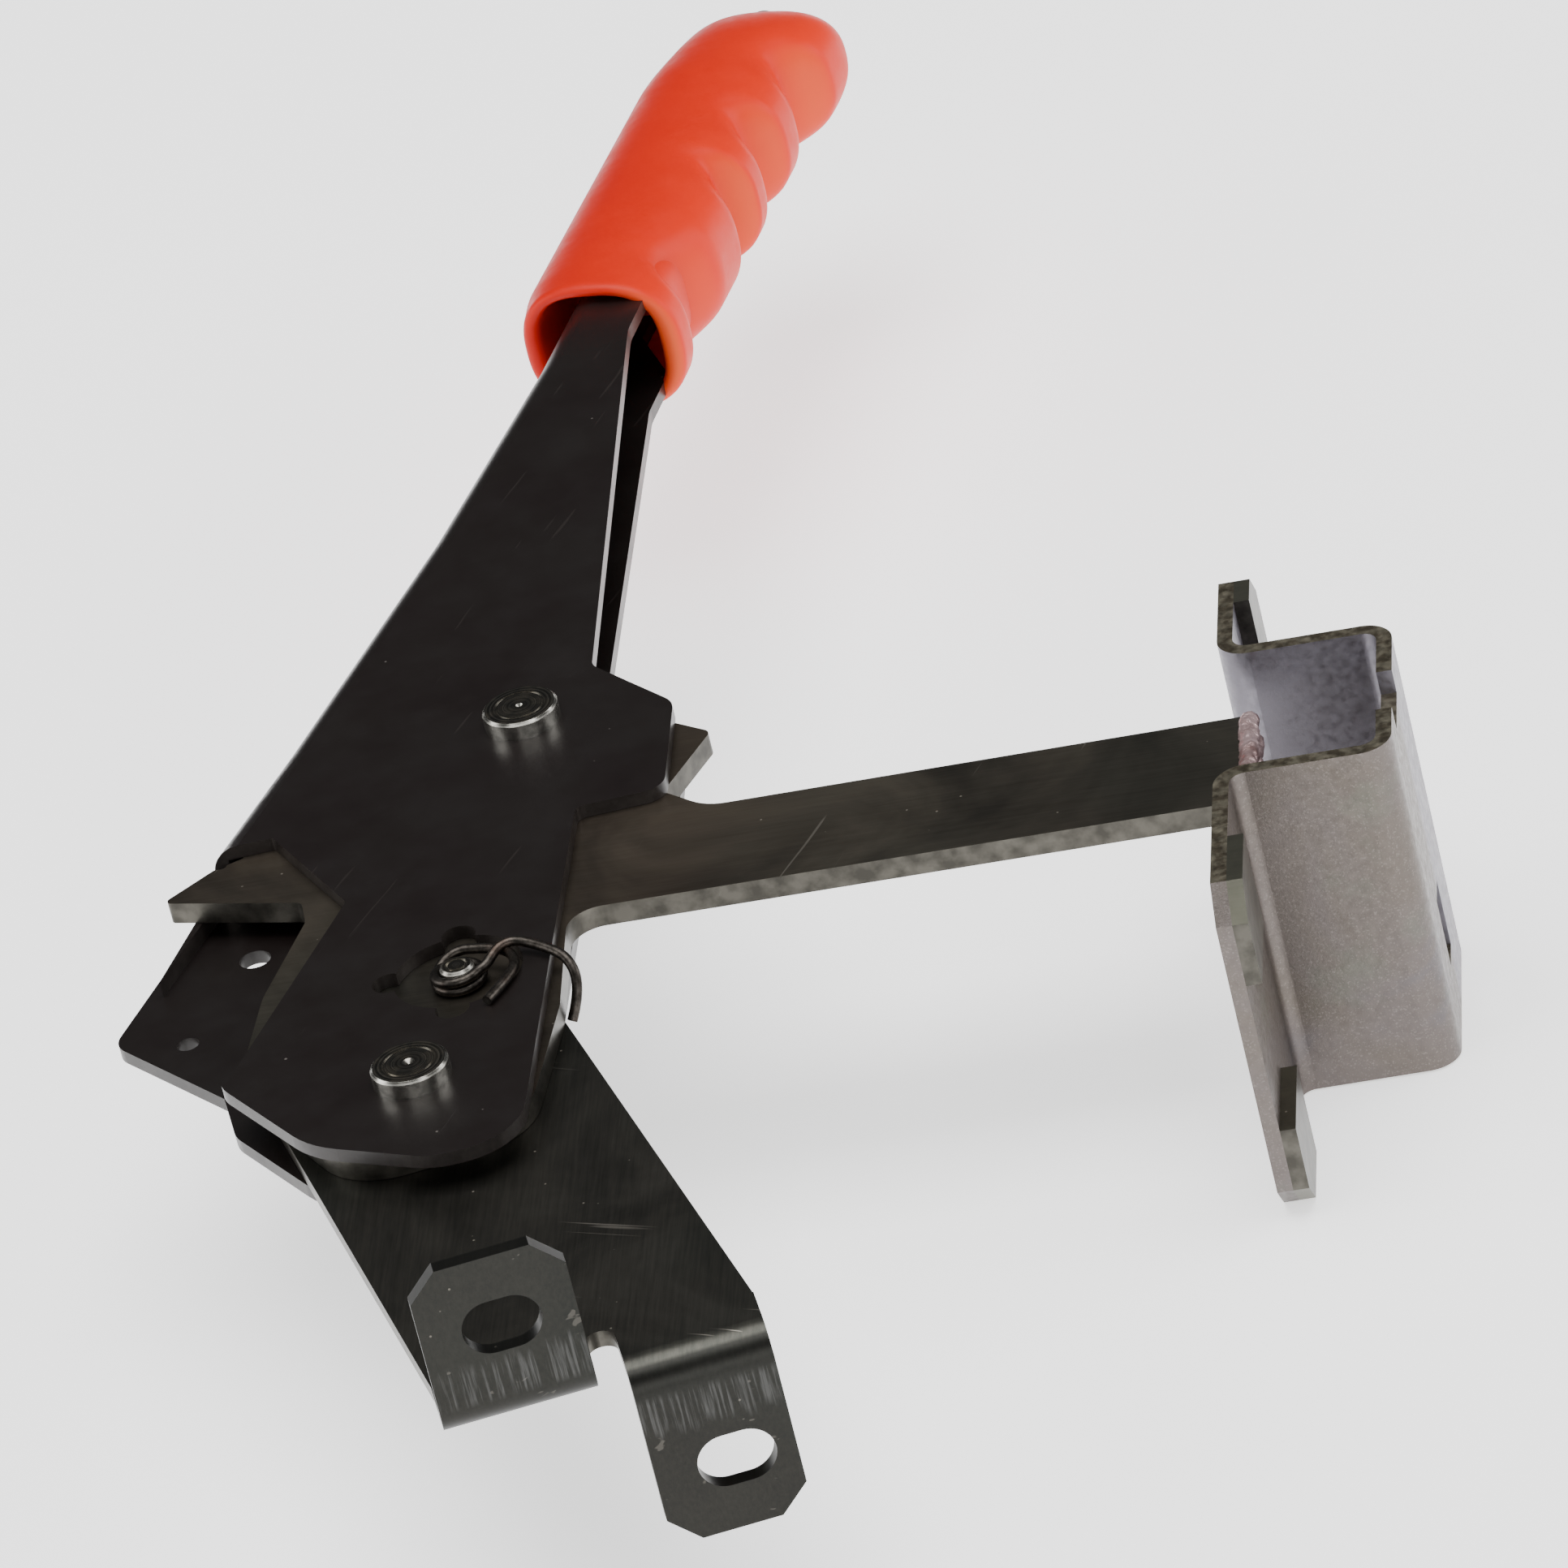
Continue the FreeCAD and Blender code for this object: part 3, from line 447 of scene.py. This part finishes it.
def grip_ring(t):
    """The points of one outer section, as (t, n, z)."""
    nose = smooth(t, 336.0, NOSE_T)
    front = RIDGE_N + (NOSE_N - RIDGE_N) * nose
    back = BACK_N + 3.6 * smooth(t, 335.0, 372.0) + 1.2 * (1 - smooth(t, MOUTH_T, MOUTH_T + 8))
    half = HALF_THICKNESS - 1.2 * smooth(t, 335.0, NOSE_T)
    shrink = end_scale(t, NOSE_T, 2.6)
    thinning = end_scale(t, THINNING_T, 2.0)
    middle = (front + back) / 2
    centre = middle + (END_N - middle) * (1 - shrink)
    depth = GROOVE_DEPTH * groove(t)
    points = []
    for i in range(AROUND):
        angle = 2 * math.pi * i / AROUND
        c, s = math.cos(angle), math.sin(angle)
        reach = (front - back) / 2
        n = reach * math.copysign(abs(c) ** 0.80, c)
        z = half * math.copysign(abs(s) ** 0.80, s)
        facing = max(c, 0.0) ** 1.3
        n -= depth * facing
        z *= 1 - 0.05 * groove(t) * facing
        points.append((t, centre + n * shrink, z * thinning))
    return points


def hole_ring(t, grow):
    """The points of one section of the hole in the mouth, grown outwards by grow."""
    back, front, half = MOUTH_HOLE
    middle = (back + front) / 2
    reach = (front - back) / 2 + grow
    points = []
    for i in range(AROUND):
        angle = 2 * math.pi * i / AROUND
        c, s = math.cos(angle), math.sin(angle)
        n = middle + reach * math.copysign(abs(c) ** 0.66, c)
        z = (half + grow) * math.copysign(abs(s) ** 0.66, s)
        points.append((t, n, z))
    return points


def mixed_ring(one, other, share, t):
    """Points between two rings, all at one t."""
    rows = []
    for a, b in zip(one, other):
        rows.append((t, a[1] + (b[1] - a[1]) * share, a[2] + (b[2] - a[2]) * share))
    return rows


def grip_rings():
    """Every ring, from the bottom of the hole, round the rim and up to the nose's end."""
    rings = [hole_ring(MOUTH_T + HOLE_DEPTH * (1 - i / 6), 0.0) for i in range(6)]
    inner = hole_ring(MOUTH_T + RIM_R, 0.0)
    outer = grip_ring(MOUTH_T + RIM_R)
    rings.append(inner)
    steps = 14
    for i in range(1, steps):
        angle = math.pi * i / steps
        share = (1 - math.cos(angle)) / 2
        bulge = math.sin(angle) ** 0.8
        rings.append(mixed_ring(inner, outer, share, MOUTH_T + RIM_R - RIM_R * bulge))
    count = 150
    for i in range(count + 1):
        share = i / count
        eased = share if share < 0.85 else 0.85 + 0.15 * math.sin((share - 0.85) / 0.15 * math.pi / 2)
        rings.append(grip_ring(MOUTH_T + RIM_R + (END_T - MOUTH_T - RIM_R - 0.05) * eased))
    return rings


def mesh_object(name, bm, material):
    """A smooth-shaded object from a bmesh, with its faces turned outwards."""
    bmesh.ops.recalc_face_normals(bm, faces=bm.faces)
    mesh = bpy.data.meshes.new(name)
    bm.to_mesh(mesh)
    bm.free()
    mesh.materials.append(material)
    for polygon in mesh.polygons:
        polygon.use_smooth = True
    piece = bpy.data.objects.new(name, mesh)
    bpy.context.scene.collection.objects.link(piece)
    return piece


def handle_grip():
    bm = bmesh.new()
    rows = []
    for ring in grip_rings():
        rows.append([bm.verts.new(grip_at(*point)) for point in ring])
    for row, following in zip(rows, rows[1:]):
        for i in range(AROUND):
            j = (i + 1) % AROUND
            bm.faces.new((row[i], row[j], following[j], following[i]))
    for row in (rows[0], rows[-1]):
        middle = sum((vert.co for vert in row), Vector()) / AROUND
        hub = bm.verts.new(middle)
        for i in range(AROUND):
            bm.faces.new((row[i], row[(i + 1) % AROUND], hub))
    piece = mesh_object("moulded_grip", bm, grip_vinyl())
    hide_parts("handle_grip")
    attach(piece, "lever")


# ---- the wire spring ---------------------------------------------------------------------
def spring_points():
    """The wire's path: the short leg, the coils round the pin, and the leg over the flange."""
    over_flange = FLANGE_TOP_Z + WIRE_R + 0.1
    low = ARM_TOP_Z + WIRE_R + 0.1
    points = [
        (15.8, 16.1, over_flange),
        (18.2, 18.7, over_flange + 0.1),
        (20.7, 21.6, over_flange + 0.1),
        (23.0, 26.6, over_flange),
        (21.6, 31.6, over_flange),
    ]
    turns, steps = 1.75, 36
    first = math.radians(55)
    for i in range(steps + 1):
        share = i / steps
        angle = first + 2 * math.pi * turns * share
        lift = smooth(share, 0.0, 0.2)
        z = over_flange - (over_flange - low) * lift + 2 * WIRE_R * max(turns * share - 0.6, 0)
        radius = COIL_R + 1.4 * (1 - lift)
        points.append((PIN.x + radius * math.cos(angle), PIN.y + radius * math.sin(angle), z))
    points += [
        (17.9, 28.2, over_flange - 0.3),
        (20.0, 30.5, over_flange + 1.2),
        (23.2, 31.4, over_flange + 1.3),
        (26.3, 29.0, over_flange + 0.8),
        (28.8, 26.2, over_flange + 0.4),
        (31.6, 22.6, over_flange - 0.2),
        (31.9, 19.4, 2.8),
        (28.9, 17.4, -2.0),
    ]
    return points


def torsion_spring():
    curve = bpy.data.curves.new("wire_spring", "CURVE")
    curve.dimensions = "3D"
    curve.bevel_depth = WIRE_R * MM
    curve.bevel_resolution = 6
    curve.use_fill_caps = True
    curve.resolution_u = 8
    spline = curve.splines.new("NURBS")
    points = spring_points()
    spline.points.add(len(points) - 1)
    for slot, point in zip(spline.points, points):
        slot.co = (*at(*point), 1.0)
    spline.order_u = 4
    spline.use_endpoint_u = True
    curve.materials.append(spring_wire())
    piece = bpy.data.objects.new("wire_spring", curve)
    bpy.context.scene.collection.objects.link(piece)
    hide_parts("torsion_spring")
    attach(piece, "lever")


WELD_VOXEL = 0.45
WELD_LUMP = 0.42
WELD_SINK = 0.20


def weld_beads():
    """Lumpy weld metal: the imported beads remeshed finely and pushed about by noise."""
    mesh = NODES["arm_weld_beads"].data.copy()
    mesh.name = "weld_lumps"
    mesh.materials.clear()
    mesh.materials.append(weld_metal())
    piece = bpy.data.objects.new("weld_lumps", mesh)
    bpy.context.scene.collection.objects.link(piece)
    remesh = piece.modifiers.new("remesh", "REMESH")
    remesh.mode = "VOXEL"
    remesh.voxel_size = WELD_VOXEL * MM
    graph = bpy.context.evaluated_depsgraph_get()
    ready = bpy.data.meshes.new_from_object(piece.evaluated_get(graph))
    piece.modifiers.clear()
    piece.data = ready
    normals = [vertex.normal.copy() for vertex in ready.vertices]
    for vertex, normal in zip(ready.vertices, normals):
        lump = noise.noise(vertex.co * 420.0) + 0.5 * noise.noise(vertex.co * 1100.0)
        vertex.co += normal * (lump * WELD_LUMP - WELD_SINK) * MM
    for polygon in ready.polygons:
        polygon.use_smooth = True
    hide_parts("arm_weld_beads")
    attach(piece, "lever")


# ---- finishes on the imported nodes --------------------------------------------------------
def dress(material, *names):
    """Gives the named nodes one material."""
    for name in names:
        slots = NODES[name].data.materials
        slots.clear()
        slots.append(material)


def dress_all():
    dress(black_paint(), "lever_channel")
    dress(zinc("bracket_zinc", BRACKET_GRAIN, BRACKET_LIGHT, BRACKET_DARK, tabs=True), "mounting_bracket")
    dress(zinc("arm_zinc", ARM_SLOPE, ARM_LIGHT, ARM_DARK), "arm_plate")
    dress(hat_zinc(), "hat_bracket")
    pads = [f"{level}_{side}_pad" for level in ("upper", "lower") for side in ("near", "far")]
    dress(zinc("pad_zinc", ARM_SLOPE, PAD_LIGHT, PAD_DARK), *pads)
    for name in ("pivot_rivet", "upper_rivet", "spring_pin", "grip_end_plug"):
        dress(turned_steel("steel_" + name, name), name)
    hidden = turned_steel("steel_rings", "pivot_washer")
    dress(hidden, "pivot_washer", "upper_washer", "pivot_bush", "upper_spacer")


# ---- floor, light and camera -------------------------------------------------------------
def floor():
    bm = bmesh.new()
    bmesh.ops.create_grid(bm, x_segments=8, y_segments=8, size=20.0)
    plane = mesh_object("floor", bm, pale_floor())
    plane.location = (0, 0, -0.0004)


def soft_light(name, place, size, power, colour=(1.0, 1.0, 1.0)):
    """A square area light that points at the middle of the object."""
    data = bpy.data.lights.new(name, "AREA")
    data.shape = "RECTANGLE"
    data.size, data.size_y = size
    data.energy = power
    data.color = colour
    lamp = bpy.data.objects.new(name, data)
    lamp.location = place
    middle = Vector((0.02, 0.0, 0.05))
    lamp.rotation_mode = "QUATERNION"
    lamp.rotation_quaternion = (middle - lamp.location).to_track_quat("-Z", "Y")
    bpy.context.scene.collection.objects.link(lamp)


def lights():
    soft_light("overhead", Vector((0.0, -0.1, 2.6)), (2.6, 2.2), 100.0)
    soft_light("left", Vector((-2.3, 0.2, 0.9)), (1.8, 1.4), 34.0)
    soft_light("right", Vector((2.3, -0.2, 0.9)), (1.8, 1.4), 34.0)
    soft_light("front", Vector((0.2, -2.2, 0.7)), (2.4, 0.9), 22.0)
    world = bpy.data.worlds.new("studio")
    world.use_nodes = True
    backdrop = world.node_tree.nodes["Background"]
    backdrop.inputs["Color"].default_value = (0.62, 0.64, 0.66, 1.0)
    backdrop.inputs["Strength"].default_value = 0.14
    bpy.context.scene.world = world


def camera():
    """Looks along the lever from its foot, about 30 degrees above the plates, tilted a little."""
    data = bpy.data.cameras.new("camera")
    data.lens = 287.7
    data.sensor_width = 36.0
    data.clip_end = 100.0
    eye = bpy.data.objects.new("camera", data)
    right = Vector((0.9602, -0.1820, -0.2120))
    up = Vector((0.2738, 0.4603, 0.8445))
    back = right.cross(up)
    turn = Matrix((right, up, back)).transposed()
    eye.matrix_world = Matrix.Translation(PIVOT + Vector((-0.0445, -1.8058, 1.0628))) @ turn.to_4x4()
    bpy.context.scene.collection.objects.link(eye)
    bpy.context.scene.camera = eye


camera()
lights()
floor()
handle_grip()
torsion_spring()
weld_beads()
dress_all()
